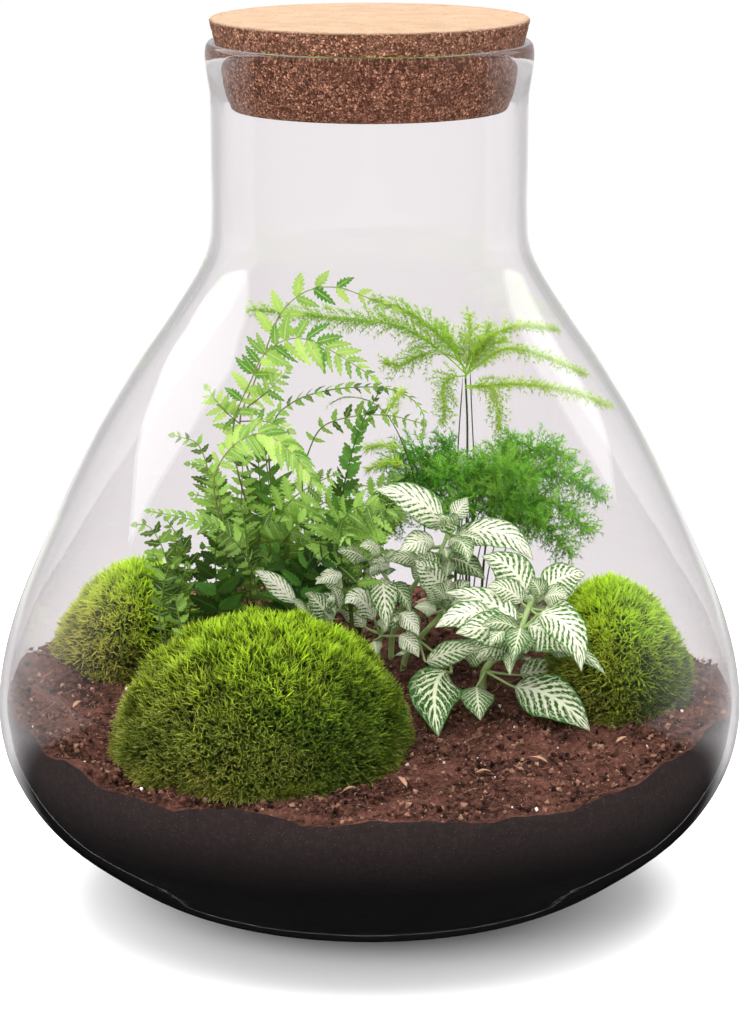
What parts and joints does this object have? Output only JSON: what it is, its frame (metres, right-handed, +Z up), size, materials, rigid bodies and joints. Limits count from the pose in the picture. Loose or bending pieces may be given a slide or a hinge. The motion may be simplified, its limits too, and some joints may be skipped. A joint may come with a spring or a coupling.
{
  "type": "glass plant terrarium",
  "caption": "Corked round glass bottle garden: a wide flask on a small flat foot, filled with soil, moss cushions, fern fronds, feathery asparagus fern and white-veined nerve plants.",
  "frame": {"origin": "Centre of the flat foot of the glass, on the surface that it stands on.", "axes": "+Z up through the neck and cork, -Y towards the front that the picture shows, +X to its right."},
  "size_m": [0.2996, 0.2996, 0.357],
  "materials": {
    "glass": "clear smooth blown glass",
    "cork": "raw agglomerated cork",
    "soil": "damp dark potting soil with fibres",
    "moss": "dense soft cushion moss",
    "fern_lime": "fresh lime-green leaf",
    "fern_leaf": "mid-green leaf",
    "fern_dark": "dark green leaf, slightly glossy",
    "nerve": "green leaf with dense white veins"
  },
  "bodies": {
    "root": {"glass_bottle": "glass", "cork_stopper": "cork", "soil": "soil", "moss_cushion_front": "moss", "moss_cushion_left": "moss", "moss_cushion_right": "moss", "fern_frond_topmost": "fern_lime", "fern_frond_arching": "fern_lime", "fern_frond_hooked": "fern_leaf", "fern_frond_slender": "fern_leaf", "fern_frond_upright": "fern_dark", "fern_frond_bright": "fern_lime", "fern_frond_curled": "fern_leaf", "fern_frond_back": "fern_dark", "fern_frond_broad_dark": "fern_dark", "fern_frond_long_low": "fern_leaf", "fern_frond_pale_middle": "fern_leaf", "fern_frond_pale_right": "fern_leaf", "fern_frond_low_left": "fern_leaf", "fern_frond_low_dark": "fern_dark", "fern_frond_pale_back": "fern_leaf", "small_leaved_stalk_left": "fern_leaf", "small_leaved_stalk_right": "fern_leaf", "nerve_plant_upper": "nerve", "nerve_plant_middle": "nerve", "nerve_plant_left": "nerve", "nerve_plant_moss_edge": "nerve", "nerve_plant_right": "nerve", "nerve_plant_low": "nerve", "asparagus_fern_upper": "fern_lime", "asparagus_fern_lower_left": "fern_dark", "asparagus_fern_lower_right": "fern_dark", "asparagus_fern_lower_front": "fern_dark", "twining_shoot": "fern_leaf"}
  },
  "joints": []
}
